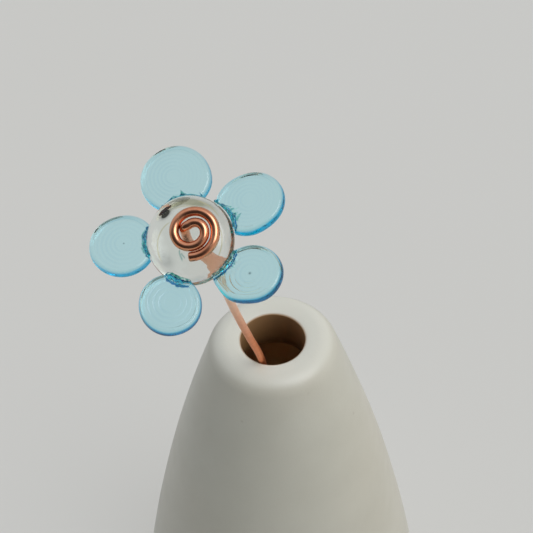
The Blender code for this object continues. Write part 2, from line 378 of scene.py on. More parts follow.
class Finish:
    """A Principled material with the few node steps that the finishes here are made of."""

    def __init__(self, name):
        self.material = bpy.data.materials.new(name)
        self.material.use_nodes = True
        self.nodes = self.material.node_tree.nodes
        self.shader = self.nodes["Principled BSDF"]
        self.place = self.node("ShaderNodeTexCoord").outputs["Object"]

    def node(self, kind, **settings):
        made = self.nodes.new(kind)
        for setting, value in settings.items():
            setattr(made, setting, value)
        return made

    def link(self, source, target):
        self.material.node_tree.links.new(source, target)

    def set(self, socket, value):
        self.shader.inputs[socket].default_value = value

    def into(self, socket, source):
        self.link(source, self.shader.inputs[socket])

    def noise(self, scale, detail, distortion=0.0, place=None):
        made = self.node("ShaderNodeTexNoise")
        self.link(self.place if place is None else place, made.inputs["Vector"])
        made.inputs["Scale"].default_value = scale
        made.inputs["Detail"].default_value = detail
        made.inputs["Distortion"].default_value = distortion
        return made.outputs["Fac"]

    def cells(self, scale):
        made = self.node("ShaderNodeTexVoronoi")
        self.link(self.place, made.inputs["Vector"])
        made.inputs["Scale"].default_value = scale
        return made.outputs["Distance"]

    def ramp(self, value, *stops):
        """Colours, or greys, along a value between 0 and 1: each stop is (position, colour)."""
        made = self.node("ShaderNodeValToRGB")
        self.link(value, made.inputs["Fac"])
        points = made.color_ramp.elements
        while len(points) < len(stops):
            points.new(0.5)
        for point, (position, colour) in zip(points, stops):
            point.position = position
            colour = colour if isinstance(colour, tuple) else (colour,) * 3
            point.color = (*colour, 1.0)
        return made.outputs["Color"]

    def mix(self, factor, first, second, blend="MIX"):
        """Mixes two colours, each a socket or a plain colour."""
        made = self.node("ShaderNodeMix", data_type="RGBA", blend_type=blend)
        for index, value in ((0, factor), (6, first), (7, second)):
            socket = made.inputs[index]
            if isinstance(value, (int, float)):
                socket.default_value = value
            elif isinstance(value, tuple):
                socket.default_value = (*value, 1.0)
            else:
                self.link(value, socket)
        return made.outputs[2]

    def attribute(self, name, output="Fac"):
        return self.node("ShaderNodeAttribute", attribute_name=name).outputs[output]

    def bump(self, height, distance, under=None):
        made = self.node("ShaderNodeBump")
        made.inputs["Strength"].default_value = 1.0
        made.inputs["Distance"].default_value = distance
        self.link(height, made.inputs["Height"])
        if under is not None:
            self.link(under, made.inputs["Normal"])
        return made.outputs["Normal"]


def glaze_finish():
    """Satin off-white glaze, clouded and faintly specked, with painted light on the top of the lip, brown
    inside with painted shade down the throat, clay under.
    """
    glaze = Finish("off_white_glaze")
    clouds = glaze.ramp(glaze.noise(45, 4), (0.35, (0.602, 0.582, 0.488)), (0.68, (0.638, 0.618, 0.523)))
    warmth = glaze.ramp(glaze.noise(14, 2), (0.35, (0.985, 1.0, 0.99)), (0.65, (1.0, 0.985, 0.955)))
    body = glaze.mix(1.0, clouds, warmth, "MULTIPLY")
    # Painted light: the top of the lip is painted paler, standing in for the light that falls on it.
    body = glaze.mix(glaze.attribute("lip"), body, (0.70, 0.69, 0.585))
    specks = glaze.ramp(glaze.cells(150), (0.03, 1.0), (0.10, 0.0))
    sparse = glaze.ramp(glaze.noise(60, 1), (0.60, 0.0), (0.70, 0.35))
    speck_mask = glaze.mix(1.0, specks, sparse, "MULTIPLY")
    body = glaze.mix(speck_mask, body, (0.36, 0.31, 0.23))
    mottle = glaze.noise(90, 4)
    brown = glaze.ramp(mottle, (0.3, (0.33, 0.195, 0.090)), (0.7, (0.43, 0.262, 0.125)))
    honey = glaze.ramp(mottle, (0.3, (0.90, 0.74, 0.49)), (0.7, (0.94, 0.80, 0.56)))
    depth = glaze.attribute("inside")
    # Painted shade: the brown inside is painted darker deeper down the throat.
    throat = glaze.ramp(depth, (0.29, (1.0, 1.0, 1.0)), (0.46, (0.62, 0.58, 0.50)))
    brown = glaze.mix(1.0, brown, throat, "MULTIPLY")
    body = glaze.mix(glaze.ramp(depth, (0.17, 0.0), (0.24, 1.0)), body, brown)
    body = glaze.mix(glaze.ramp(depth, (0.60, 0.0), (0.75, 1.0)), body, honey)
    clay = glaze.ramp(glaze.noise(700, 3), (0.35, (0.40, 0.33, 0.25)), (0.65, (0.50, 0.43, 0.34)))
    under = glaze.ramp(glaze.attribute("under"), (0.45, 0.0), (0.55, 1.0))
    glaze.into("Base Color", glaze.mix(under, body, clay))
    glaze.into("Roughness", glaze.ramp(glaze.noise(160, 4), (0.3, 0.31), (0.7, 0.40)))
    waves = glaze.bump(glaze.noise(70, 2), 0.00025)
    glaze.into("Normal", glaze.bump(glaze.noise(1500, 2), 0.00003, under=waves))
    return glaze.material


def copper_finish():
    """Drawn copper: fine lines along it, polished on the spiral and matt down the stem, whose colour is
    painted paler below the flower and darker and redder lower down, as painted light and shade.
    """
    copper = Finish("copper")
    copper.set("Metallic", 1.0)
    lines = copper.noise(1.0, 3, place=copper.attribute("drawn", "Vector"))
    patches = copper.noise(420, 4)
    bright = copper.ramp(patches, (0.36, (0.67, 0.27, 0.140)), (0.60, (0.78, 0.35, 0.195)))
    # Painted light and shade down the stem: a paler copper below the flower, and a darker, redder one
    # lower down.
    salmon_painted_light = copper.ramp(patches, (0.30, (1.0, 0.65, 0.475)), (0.70, (1.0, 0.73, 0.56)))
    dull_painted_shade = copper.ramp(patches, (0.30, (0.82, 0.29, 0.12)), (0.70, (0.92, 0.36, 0.17)))
    stem = copper.attribute("stem")
    near = copper.ramp(stem, (0.43, (0.90, 0.78, 0.76)), (0.46, (1.0, 1.0, 1.0)))
    salmon_painted_light = copper.mix(1.0, salmon_painted_light, near, "MULTIPLY")
    # Where the stem's painted paler copper gives way to the painted darker, redder one.
    lower = copper.ramp(stem, (0.52, 0.0), (0.62, 1.0))
    off_spiral = copper.ramp(stem, (0.0, 0.0), (STEM_START_SHARE, 1.0))
    upper = copper.mix(off_spiral, bright, salmon_painted_light)
    copper.into("Base Color", copper.mix(lower, upper, dull_painted_shade))
    polish = copper.ramp(lines, (0.35, 0.11), (0.70, 0.20))
    matt = copper.ramp(lines, (0.35, 0.44), (0.70, 0.58))
    copper.into("Roughness", copper.mix(off_spiral, polish, matt))
    dents = copper.bump(copper.noise(900, 2), 0.00002)
    copper.into("Normal", copper.bump(lines, 0.000006, under=dents))
    return copper.material


def glass_finish(name, tint, density, waviness):
    """Glass with a tint through its thickness and a faintly wavy, fire-polished surface."""
    glass = Finish(name)
    glass.set("Transmission Weight", 1.0)
    glass.set("IOR", 1.5)
    glass.into("Roughness", glass.ramp(glass.noise(900, 2), (0.45, 0.0), (0.75, 0.03)))
    glass.into("Normal", glass.bump(glass.noise(320, 2), waviness))
    absorption = glass.node("ShaderNodeVolumeAbsorption")
    absorption.inputs["Color"].default_value = (*tint, 1.0)
    absorption.inputs["Density"].default_value = density
    glass.link(absorption.outputs[0], glass.nodes["Material Output"].inputs["Volume"])
    return glass


def petal_finish():
    """Pale blue glass: painted shade along its rings, painted deeper blue along the rim, a painted cyan
    highlight on one stretch, teal at the seam.
    """
    glass = glass_finish("pale_blue_glass", (0.05, 0.975, 0.993), 172, 0.00004)
    # Painted shade: the glass is painted darker in bands along the rings, stored as their pressed value.
    body = glass.ramp(glass.attribute("pressed"), (0.0, (1.0, 0.98, 1.0)), (1.0, (0.87, 0.90, 0.965)))
    # Painted light and shade: the rim is painted deeper blue, near black at the very edge, for the colour
    # and shade that light gives the glass there.
    rim = glass.ramp(glass.attribute("rim"), (0.0, (1.0, 1.0, 1.0)), (0.45, (0.60, 0.84, 0.93)),
                     (0.80, (0.05, 0.38, 0.70)), (1.0, (0.0, 0.07, 0.25)))
    body = glass.mix(1.0, body, rim, "MULTIPLY")
    # Painted highlight: a stretch of bright cyan along one petal's rim.
    body = glass.mix(glass.attribute("cyan"), body, (0.01, 0.95, 1.0))
    teal = glass.ramp(glass.noise(1100, 2), (0.42, (0.05, 0.32, 0.30)), (0.53, (0.27, 0.69, 0.62)),
                      (0.61, (0.84, 0.98, 0.92)))
    body = glass.mix(glass.attribute("seam"), body, teal)
    glass.into("Base Color", glass.mix(glass.attribute("speck"), body, (0.03, 0.07, 0.08)))
    return glass.material


# ---------------- bottle

def wall_radius(depth):
    """Outer radius of the bottle's wall at a depth below the top of the lip."""
    start_radius = LIP_CROWN_RADIUS + LIP_ROUND * math.sin(LIP_SWEEP)
    run = depth - LIP_ROUND * (1 - math.cos(LIP_SWEEP))
    return start_radius + WALL_FLARE * run - WALL_CONVEXITY * run * run


def inner_radius(depth):
    """Inner radius of the bottle, which widens from the throat to the inside of the wall."""
    full = wall_radius(depth) - WALL_THICKNESS
    blend = float(smooth_step(depth, THROAT_DEPTH, SHOULDER_DEPTH))
    return MOUTH_RADIUS + (full - MOUTH_RADIUS) * blend


def arc(centre, radii, start, end, steps):
    """Points on an elliptical arc in the (r, z) half plane, from start to end degrees."""
    points = []
    for degrees in spread(start, end, steps):
        angle = math.radians(degrees)
        points.append((centre[0] + radii[0] * math.cos(angle), centre[1] + radii[1] * math.sin(angle)))
    return points


def bottle_profile(top):
    """Rings of the bottle, from under the foot round the lip to the floor inside.

    Each is (radius, height, how far inside, how far under the foot). The last number of each spread
    or arc is its steps.
    """
    profile = []

    def add(points, inside=(0, 0), under=(0, 0)):
        steps = max(len(points) - 1, 1)
        for index, (radius, height) in enumerate(points):
            share = index / steps
            depth_inside = inside[0] + (inside[1] - inside[0]) * share
            share_under = under[0] + (under[1] - under[0]) * share
            profile.append((radius, height, depth_inside, share_under))

    foot_radius = wall_radius(top - FOOT_ROUND)
    flat = foot_radius - FOOT_ROUND
    add([(radius, 0.0) for radius in spread(flat / 8, flat, 7)], under=(1, 1))
    add(arc((flat, FOOT_ROUND), (FOOT_ROUND, FOOT_ROUND), -90, 0, 10)[1:], under=(0.9, 0))
    lip_edge = LIP_ROUND * (1 - math.cos(LIP_SWEEP))
    add([(wall_radius(depth), top - depth) for depth in spread(top - FOOT_ROUND, lip_edge, 64)[1:-1]])
    sweep = math.degrees(LIP_SWEEP)
    crown = (LIP_CROWN_RADIUS, top - LIP_ROUND)
    add(arc(crown, (LIP_ROUND, LIP_ROUND), 90 - sweep, 90, 22))
    mouth_round = LIP_CROWN_RADIUS - MOUTH_RADIUS
    mouth = (LIP_CROWN_RADIUS, top - MOUTH_ROUND_DEPTH)
    add(arc(mouth, (mouth_round, MOUTH_ROUND_DEPTH), 90, 180, 18)[1:], INSIDE_MOUTH)
    throat = spread(MOUTH_ROUND_DEPTH, SHOULDER_DEPTH, 26)[1:]
    add([(inner_radius(depth), top - depth) for depth in throat[:THROAT_RINGS]], INSIDE_THROAT)
    add([(inner_radius(depth), top - depth) for depth in throat[THROAT_RINGS:]], INSIDE_SHOULDER)
    floor_depth = top - FLOOR_THICKNESS
    belly = spread(SHOULDER_DEPTH, floor_depth - FLOOR_ROUND, 24)[1:-1]
    add([(inner_radius(depth), top - depth) for depth in belly], INSIDE_BELLY)
    floor_radius = inner_radius(floor_depth - FLOOR_ROUND) - FLOOR_ROUND
    floor_edge = (floor_radius, FLOOR_THICKNESS + FLOOR_ROUND)
    add(arc(floor_edge, (FLOOR_ROUND, FLOOR_ROUND), 0, -90, 8), INSIDE_BELLY)
    add([(radius, FLOOR_THICKNESS) for radius in spread(floor_radius, floor_radius / 6, 5)[1:]],
        INSIDE_BELLY)
    return profile


def build_bottle():
    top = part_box("bottle")[1].z
    profile = bottle_profile(top)
    angles = turn_angles(BOTTLE_SIDES)
    slow = wander(seed=11, count=3)
    quick = wander(seed=12, count=7)
    rings = []
    for radius, height, _, _ in profile:
        turn = height * UNEVEN_TURN_PER_METRE
        # From 0 to 1, so the wall only comes in from its full radius.
        uneven = 0.5 + 0.3 * slow(angles + turn) + 0.2 * quick(angles - turn)
        reach = radius - WALL_UNEVENNESS * uneven * min(radius / MOUTH_RADIUS, 1.0)
        rings.append(level_ring(angles, reach, height))
    mesh = ring_mesh("bottle_body", rings, (0, 0, 0), (0, 0, FLOOR_THICKNESS))
    ring_values(mesh, "inside", [row[2] for row in profile], BOTTLE_SIDES, 0, 1)
    ring_values(mesh, "under", [row[3] for row in profile], BOTTLE_SIDES, 1, 0)
    heights = np.array([row[1] for row in profile])
    # Painted light: how much of the lip's painted paler colour each ring takes.
    lip = smooth_step(heights, top - LIP_PAINTED_LIGHT_DEPTH, top - LIP_PAINTED_LIGHT_DEPTH / 4)
    ring_values(mesh, "lip", lip, BOTTLE_SIDES, 0, 0)
    return add_object("bottle_body", mesh, glaze_finish())


# ---------------- frames of the flower

def flower_matrix():
    facing = Vector(FLOWER_FACING).normalized()
    across = Vector(FLOWER_UP).cross(facing).normalized()
    upward = facing.cross(across)
    matrix = Matrix((across, upward, facing)).transposed().to_4x4()
    matrix.translation = Vector(FLOWER_MIDDLE)
    return matrix


def centre_matrix():
    turn_x = Matrix.Rotation(CENTRE_TURN[0], 4, "X")
    turn_y = Matrix.Rotation(CENTRE_TURN[1], 4, "Y")
    return flower_matrix() @ turn_x @ turn_y


# ---------------- wire

def spiral_radius(angle):
    for (start, first), (end, second) in zip(SPIRAL_SHAPE, SPIRAL_SHAPE[1:]):
        if angle <= end:
            return first + (second - first) * (angle - start) / (end - start)
    return SPIRAL_SHAPE[-1][1]


def height_on_centre(x, y):
    """Height of the wire's centreline where it lies on the dome, at a place in the centre's frame."""
    across = x / CENTRE_RADIUS
    along = y / (CENTRE_RADIUS * CENTRE_STRETCH)
    out = math.hypot(across, along)
    rise = (1 - out ** CENTRE_FULLNESS) ** (1 / CENTRE_FULLNESS)
    fall = CENTRE_FRONT * (out / rise) ** (CENTRE_FULLNESS - 1) / out
    slope = fall * math.hypot(across / CENTRE_RADIUS, along / (CENTRE_RADIUS * CENTRE_STRETCH))
    return CENTRE_FRONT * rise + (WIRE_RADIUS - WIRE_PRESS) * math.hypot(1, slope)


def spiral_points():
    first = SPIRAL_SHAPE[0][0]
    last = SPIRAL_SHAPE[-1][0]
    count = round(math.radians(last - first) / SPIRAL_STEP)
    points = []
    for angle in spread(first, last, count):
        radius = spiral_radius(angle)
        x = SPIRAL_CENTRE[0] + radius * math.cos(math.radians(angle))
        y = SPIRAL_CENTRE[1] + radius * math.sin(math.radians(angle))
        points.append(Vector((x, y, height_on_centre(x, y))))
    return points


def bend_points(spiral):
    """A bend from the end of the spiral into the glass, tangent to both."""
    leaving = (spiral[-1] - spiral[-2]).normalized() * BEND_REACH
    entering = (BORE_BACK - BORE_FRONT).normalized() * BEND_REACH
    points = []
    for t in spread(0, 1, BEND_STEPS)[1:]:
        points.append(spiral[-1] * (2 * t ** 3 - 3 * t ** 2 + 1) + leaving * (t ** 3 - 2 * t ** 2 + t)
                      + BORE_FRONT * (3 * t ** 2 - 2 * t ** 3) + entering * (t ** 3 - t ** 2))
    return points


def wire_route(place):
    """The wire's centreline as points, with how far each lies down the stem, from 0 to 1."""
    spiral = spiral_points()
    front = smooth_curve(spiral + bend_points(spiral), SPIRAL_POINT_STEP)
    stem = [place @ BORE_FRONT, place @ BORE_BACK]
    stem += [Vector(point) for point in STEM_ROUTE]
    stem = smooth_curve(stem, STEM_POINT_STEP)[1:]
    route = [place @ point for point in front] + stem
    places = np.arange(len(stem))
    begun = STEM_START_SHARE * smooth_step(places, 0, STEM_START_POINTS)
    down_stem = begun + (1 - STEM_START_SHARE) * places / len(stem)
    return route, np.append(np.zeros(len(front)), down_stem)


def wire_radii(lengths):
    """The wire's radius at each length along it: a little uneven, and rounded off at the cut ends."""
    draw = random.Random(WIRE_SEED)
    whole = lengths[-1]
    places = np.arange(0, whole + 1.2 * WIRE_SWELL_STEP, WIRE_SWELL_STEP)
    swell = np.interp(lengths, places, [draw.uniform(-1, 1) for _ in places])
    radii = WIRE_RADIUS * (1 - WIRE_SWELL + WIRE_SWELL * swell)
    from_end = np.minimum(np.minimum(lengths, whole - lengths), WIRE_END_ROUND)
    return radii - WIRE_END_ROUND * (1 - np.sqrt(1 - (1 - from_end / WIRE_END_ROUND) ** 2))


def store_drawn_lines(mesh, angles, lengths):
    """Stores places for the drawn lines' noise, which change fast round the wire and slowly along it."""
    round_wire = np.stack((np.cos(angles), np.sin(angles)), -1) * DRAWN_LINES_ROUND
    places = [np.column_stack((round_wire, np.full(WIRE_SIDES, length / DRAWN_LINE_LENGTH)))
              for length in lengths]
    ends = [np.zeros((2, 3))]
    drawn = mesh.attributes.new("drawn", "FLOAT_VECTOR", "POINT")
    drawn.data.foreach_set("vector", np.concatenate(places + ends).astype(np.float32).ravel())


def build_wire(place):
    route, share = wire_route(place)
    angles = turn_angles(WIRE_SIDES)
    points = np.array([tuple(point) for point in route])
    ways = np.gradient(points, axis=0)
    ways /= np.linalg.norm(ways, axis=1)[:, None]
    side = np.cross(ways[0], (0.0, 0.0, 1.0))
    steps = np.linalg.norm(np.diff(points, axis=0), axis=1)
    lengths = np.concatenate(([0], np.cumsum(steps)))
    rings = []
    for point, way, radius in zip(points, ways, wire_radii(lengths)):
        side = side - way * np.dot(side, way)
        side /= np.linalg.norm(side)
        other = np.cross(way, side)
        rings.append(point + radius * (np.outer(np.cos(angles), side) + np.outer(np.sin(angles), other)))
    mesh = ring_mesh("wire", rings, route[0], route[-1])
    ring_values(mesh, "stem", share, WIRE_SIDES, 0, 1)
    store_drawn_lines(mesh, angles, lengths)
    return add_object("wire", mesh, copper_finish())


# ---------------- glass centre

def centre_reach(x, y, z):
    """How far out a point of the centre's frame lies: under 1 within the glass centre or behind it."""
    out = np.hypot(x / CENTRE_RADIUS, y / (CENTRE_RADIUS * CENTRE_STRETCH))
    front = np.maximum(z, 0) / CENTRE_FRONT
    ahead = (out ** CENTRE_FULLNESS + front ** CENTRE_FULLNESS) ** (1 / CENTRE_FULLNESS)
    return np.where(z >= 0, ahead, out)


def centre_finish():
    """Thick clear glass with grey, olive and dark pools of painted shade, amber and teal cords and a few
    seeds.
    """
    glass = glass_finish("clear_glass", (0.80, 0.90, 0.80), 60, 0.00008)
    streaks = glass.noise(150, 3, 1.5)
    grey = glass.ramp(streaks, (0.35, (0.52, 0.54, 0.52)), (0.65, (0.68, 0.69, 0.67)))
    olive = glass.ramp(streaks, (0.35, (0.26, 0.27, 0.14)), (0.65, (0.44, 0.43, 0.26)))
    # Painted shade: grey pools mostly near the edge, and olive ones where the glass shows the bottle's
    # shaded side.
    body = glass.mix(glass.attribute("grey"), (0.985, 0.995, 0.955), grey)
    body = glass.mix(glass.attribute("olive"), body, olive)
    body = glass.mix(glass.attribute("amber"), body, (0.62, 0.54, 0.22))
    body = glass.mix(glass.attribute("teal"), body, (0.14, 0.40, 0.38))
    # Painted shade: a dark pool where the glass shows the bottle's dark mouth.
    body = glass.mix(glass.attribute("dark"), body, (0.002, 0.002, 0.001))
    seeds = glass.ramp(glass.cells(700), (0.06, 1.0), (0.12, 0.0))
    sparse = glass.ramp(glass.noise(240, 1), (0.64, 0.0), (0.70, 0.8))
    seed_mask = glass.mix(1.0, seeds, sparse, "MULTIPLY")
    glass.into("Base Color", glass.mix(seed_mask, body, (0.10, 0.12, 0.10)))
    return glass.material


def pool(out, angles, degrees, spread_degrees, share, spread_share, strength):
    """A soft patch of painted shade about a bearing and a share of the radius."""
    around = np.exp(-(apart(angles, degrees) / spread_degrees) ** 2)
    return strength * around * np.exp(-((out - share) / spread_share) ** 2)


def cord(out, angles, start, end, first, last, width):
    """A fine cord from one bearing to another, at a share of the radius that changes evenly."""
    along = (np.degrees(angles) - start) % 360 / ((end - start) % 360)
    here = first + (last - first) * along
    fade = smooth_step(along, 0.0, CORD_FADE) * (1 - smooth_step(along, 1 - CORD_FADE, 1.0))
    return fade * np.exp(-((out - here) / width) ** 2)


def build_glass_centre(place):
    angles = turn_angles(CENTRE_SIDES)
    rings = []
    # The grey, olive and dark pools are painted shade.
    sources = {"grey": (pool, GREY_PAINTED_SHADE), "olive": (pool, OLIVE_PAINTED_SHADE), "dark": (pool, DARK_PAINTED_SHADE),
               "amber": (cord, AMBER_CORDS), "teal": (cord, TEAL_CORDS)}
    cords_and_painted_shade = {label: [] for label in sources}
    back = [(CENTRE_BACK, 2.0, turn) for turn in spread(-85, 0, 24)]
    front = [(CENTRE_FRONT, CENTRE_FULLNESS, turn) for turn in spread(0, 88, 80)[1:]]
    for height, fullness, degrees in back + front:
        turn = math.radians(degrees)
        across = CENTRE_RADIUS * math.cos(turn) ** (2 / fullness)
        along = math.copysign(height * abs(math.sin(turn)) ** (2 / fullness), turn)
        rings.append(level_ring(angles, across, along, CENTRE_STRETCH))
        out = across / CENTRE_RADIUS if degrees > 0 else 0
        for label, (kind, rows) in sources.items():
            cords_and_painted_shade[label].append(sum(kind(out, angles, *row) for row in rows))
    mesh = ring_mesh("glass_dome", rings, (0, 0, -CENTRE_BACK), (0, 0, CENTRE_FRONT))
    for label, values in cords_and_painted_shade.items():
        point_values(mesh, label, values)
    mesh.transform(place)
    return add_object("glass_dome", mesh, centre_finish())


# ---------------- petals

def petal_matrix(petal):
    spoke = Matrix.Rotation(math.radians(petal.bearing), 4, "Z")
    tip = Matrix.Rotation(math.radians(-petal.tip), 4, "Y")
    twist = Matrix.Rotation(math.radians(-petal.twist), 4, "X")
    return flower_matrix() @ spoke @ Matrix.Translation((petal.distance, 0.0, 0.0)) @ tip @ twist


def lattice(draw, rows, angles, count=FACET_LEVELS):
    """Random values from 0 to 1 on a coarse lattice, drawn out in straight lines between its knots."""
    turns = np.arange(0, 360, FACET_TURN)
    knots = np.radians(turns) + [draw.uniform(-FACET_TURN_UNEVENNESS, FACET_TURN_UNEVENNESS)
                                 for _ in turns]
    levels = np.linspace(0, 1, count)
    lines = np.array([np.interp(angles, knots, [draw.random() for _ in knots], period=2 * math.pi)
                      for _ in levels])
    return np.array([[np.interp(row, levels, lines[:, side]) for side in range(len(angles))]
                     for row in np.linspace(0, 1, rows)])


def near_bearing(angles, degrees, width):
    """A peak of 1 at a bearing, falling in a straight line to 0 at a width in degrees beside it."""
    return np.clip(1 - apart(angles, degrees) / width, 0, 1)


def petal_outline(petal, angles):
    uneven = OUTLINE_UNEVENNESS * wander(PETAL_SEED + petal.bearing, OUTLINE_WAVES)(angles)
    outline = petal.radius * (1 - OUTLINE_UNEVENNESS + uneven) - OUTLINE_TRIM
    for degrees, rise, spread_degrees in petal.swells:
        outline += rise * np.exp(-(apart(angles, degrees) / spread_degrees) ** 2)
    return outline


def reach_to_centre(to_centre, angles, heights, limit):
    """How far a ray from the petal's axis goes, at each height and angle, before it meets the centre."""
    turn = np.array(to_centre.to_3x3())
    shift = np.array(to_centre.translation)
    gap = 1 + FUSED_GAP / CENTRE_RADIUS
    steps = np.linspace(0, limit, RAY_STEPS)[:, None]
    reach = []
    for row in heights:
        ray = np.stack((steps * np.cos(angles), steps * np.sin(angles), steps * 0 + row), -1)
        local = ray @ turn.T + shift
        inside = centre_reach(local[..., 0], local[..., 1], local[..., 2]) < gap
        reach.append(np.where(inside.any(axis=0), steps[np.argmax(inside, axis=0), 0], limit))
    return np.array(reach)


def rim_section():
    """The rim's rounding from front to back: level of each ring, and how far it lies in from the edge."""
    turns = np.radians(spread(84, -84, RIM_RINGS))
    ahead = turns > 0
    rise = np.where(ahead, 1 - WIDEST_LEVEL, -1 - WIDEST_LEVEL) * np.abs(np.sin(turns))
    return WIDEST_LEVEL + rise, (1 - np.cos(turns)) * np.where(ahead, FRONT_ROUND, BACK_ROUND)


class PetalShape:
    """The rings of one petal's mesh, from its face over the rim to its back, and their values.

    What is worked out all round the disc has one value for each of its angles: how far it is fused,
    where its outline is cut by the glass centre, where its face ends and how wide its seam is.
    """

    def __init__(self, petal, to_centre):
        self.petal = petal
        self.draw = random.Random(PETAL_SEED + petal.bearing)
        self.angles = turn_angles(PETAL_SIDES)
        self.half = PETAL_THICKNESS / 2
        self.rings = []
        self.values = {"pressed": [], "rim": [], "cyan": [], "seam": [], "speck": []}
        self.shape_edges(to_centre)
        self.shape_colours()
        self.add_face()
        self.add_climb()
        self.add_rim()
        self.add_back()

    def shape_edges(self, to_centre):
        """Finds the rim, which is rounded where it is free and cut to the centre where it is fused."""
        petal = self.petal
        half = self.half
        outline = petal_outline(petal, self.angles)
        levels, inward = rim_section()
        flat = np.outer(levels, np.full(PETAL_SIDES, half))
        limit = petal.radius * RAY_REACH
        met = reach_to_centre(to_centre, self.angles, flat, limit)
        self.fused = smooth_step(outline - met.min(axis=0), *FUSED_OVERLAP)
        ragged_rise, ragged_width = lattice(self.draw, RAGGED_ROWS, self.angles)[:2]
        rise = self.fused * petal.seam_rise * (SEAM_LEAST_RISE + (1 - SEAM_LEAST_RISE) * ragged_rise)
        self.heights = np.where(flat > 0, flat * (1 + rise / half), flat)
        broken = lattice(self.draw, len(levels), self.angles) * FACET_DEPTH + FUSED_DEPTH
        short = broken * self.fused * smooth_step(-flat / half, *SHORT_LEVELS)
        risen = reach_to_centre(to_centre, self.angles, self.heights, limit) - short
        softness = 1 - SEAM_SHARPNESS * self.fused
        self.rim = [edge - inset * softness for edge, inset in zip(np.minimum(outline, risen), inward)]
        self.cut = np.minimum(outline, met[0])
        width = petal.seam_width * (SEAM_LEAST_WIDTH + (1 - SEAM_LEAST_WIDTH) * ragged_width)
        self.face_end = self.cut - (FRONT_ROUND + CLIMB_RUN) * (1 - self.fused) - width * self.fused
        self.band = width + sum(length * near_bearing(self.angles, degrees, SPIKE_WIDTH)
                                for degrees, length in petal.spikes)

    def shape_colours(self):
        """Finds how deep the rim's painted blue is all round, how strong the rings are, and the stretch of
        painted cyan highlight.
        """
        petal = self.petal
        in_flower = self.angles + math.radians(petal.bearing)
        # Painted shade: the rim's painted blue is deepest on one side of the flower.
        deep_side = smooth_step(np.cos(in_flower - RIM_PAINTED_DEEPEST_SIDE), *RIM_SIDE_COSINES)
        share = petal.rim_least + (1 - petal.rim_least) * deep_side
        self.rim_painted_shade = petal.rim_painted_depth * share * (1 - self.fused)
        best_side = smooth_step(np.cos(in_flower - RINGS_BEST_SIDE), *RINGS_SIDE_COSINES)
        self.ring_strength = RINGS_LEAST + RINGS_MORE * best_side
        # Painted highlight: where the stretch of bright cyan lies along the rim.
        self.cyan = np.zeros(PETAL_SIDES)
        if petal.cyan_highlight_spread:
            self.cyan = np.exp(-(apart(self.angles, petal.cyan_highlight_bearing) / petal.cyan_highlight_spread) ** 2)

    def seam_at(self, out, edge):
        return self.fused * smooth_step(out - (edge - self.band), -SEAM_BLUR, SEAM_BLUR)

    def add_ring(self, out, height, seam, coloured=True, pressed=0.0, speck=0.0):
        """Adds a ring of points with the values that its finish needs there."""
        # The rim's painted blue near the edge, and the painted cyan highlight on its stretch.
        near_edge = smooth_step(out, self.cut - RIM_COLOUR_WIDTH, self.cut - RIM_COLOUR_FULL)
        depth = np.maximum(self.petal.face_painted_depth, self.rim_painted_shade * near_edge) if coloured else 0.0
        self.rings.append(level_ring(self.angles, out, height))
        for label, value in (("pressed", pressed), ("rim", depth), ("cyan", self.cyan * near_edge),
                             ("seam", seam), ("speck", speck)):
            self.values[label].append(value + np.zeros(PETAL_SIDES))

    def add_face(self):
        """Adds the face: pressed a little lower inside its bead, with fine rings and a ragged seam."""
        petal = self.petal
        pitch = petal.ring_pitch
        broken_face = lattice(self.draw, FACE_RINGS + 1, self.angles, FACE_FACETS) * SEAM_RISE
        for share, broken in zip(spread(FACE_START, 1, FACE_RINGS), broken_face):
            out = share * self.face_end
            bead = 1 - smooth_step(self.cut - out, BEAD_CREST * BEAD_WIDTH, BEAD_WIDTH)
            bead *= 1 - self.fused
            from_middle = np.hypot(out * np.cos(self.angles) - petal.ring_middle[0],
                                   out * np.sin(self.angles) - petal.ring_middle[1])
            weaker = smooth_step(from_middle / petal.radius, *RINGS_WEAKEN)
            fade = self.ring_strength * (1 - bead) * smooth_step(from_middle, *RINGS_START)
            fade = fade * (1 - RINGS_LOSS * weaker)
            off = (from_middle / pitch + 0.5) % 1 * pitch - 0.5 * pitch
            groove = fade * np.exp(-(off / GROOVE_WIDTH) ** 2)
            # Painted shade in bands along the rings, which the finish reads as the pressed value.
            shade = fade * (0.5 + 0.5 * np.cos(2 * math.pi * off / pitch))
            seam = self.seam_at(out, self.cut)
            height = self.half - PRESSED_DEPTH * (1 - bead) - GROOVE_DEPTH * groove + broken * seam
            speck = 0.0
            if petal.speck_radius:
                speck = np.exp(-(from_middle / petal.speck_radius) ** 2)
            self.add_ring(out, height, seam, pressed=shade, speck=speck)

    def add_climb(self):
        """Adds the run from the end of the face to the rim, crumpled where it is fused."""
        crumple = lattice(self.draw, CLIMB_RINGS, self.angles) * SEAM_RISE * self.fused
        for index in range(CLIMB_RINGS):
            share = (index + 1) / (CLIMB_RINGS + 1)
            out = self.face_end + (self.rim[0] - self.face_end) * share
            height = self.half + (self.heights[0] - self.half) * share ** CLIMB_FALL
            height = height + crumple[index] * math.sin(math.pi * share)
            self.add_ring(out, height, np.maximum(self.fused, self.seam_at(out, self.cut)))

    def add_rim(self):
        for out, height in zip(self.rim, self.heights):
            self.add_ring(out, height, self.fused)

    def add_back(self):
        edge = self.rim[-1]
        for share in spread(1, BACK_END, BACK_RINGS)[1:]:
            out = share * edge
            self.add_ring(out, -self.half, self.seam_at(out, edge), coloured=False)

    def smooth_faces(self):
        """Which faces are shaded smooth: all but the facets of the fused seam."""
        facets = np.zeros((len(self.rings) - 1, PETAL_SIDES), bool)
        facets[FACE_RINGS:FACE_RINGS + CLIMB_RINGS + len(self.rim) + 1] = self.fused > 0.5
        ends = np.ones(PETAL_SIDES, bool)
        return np.concatenate((ends, ~facets.ravel(), ends))


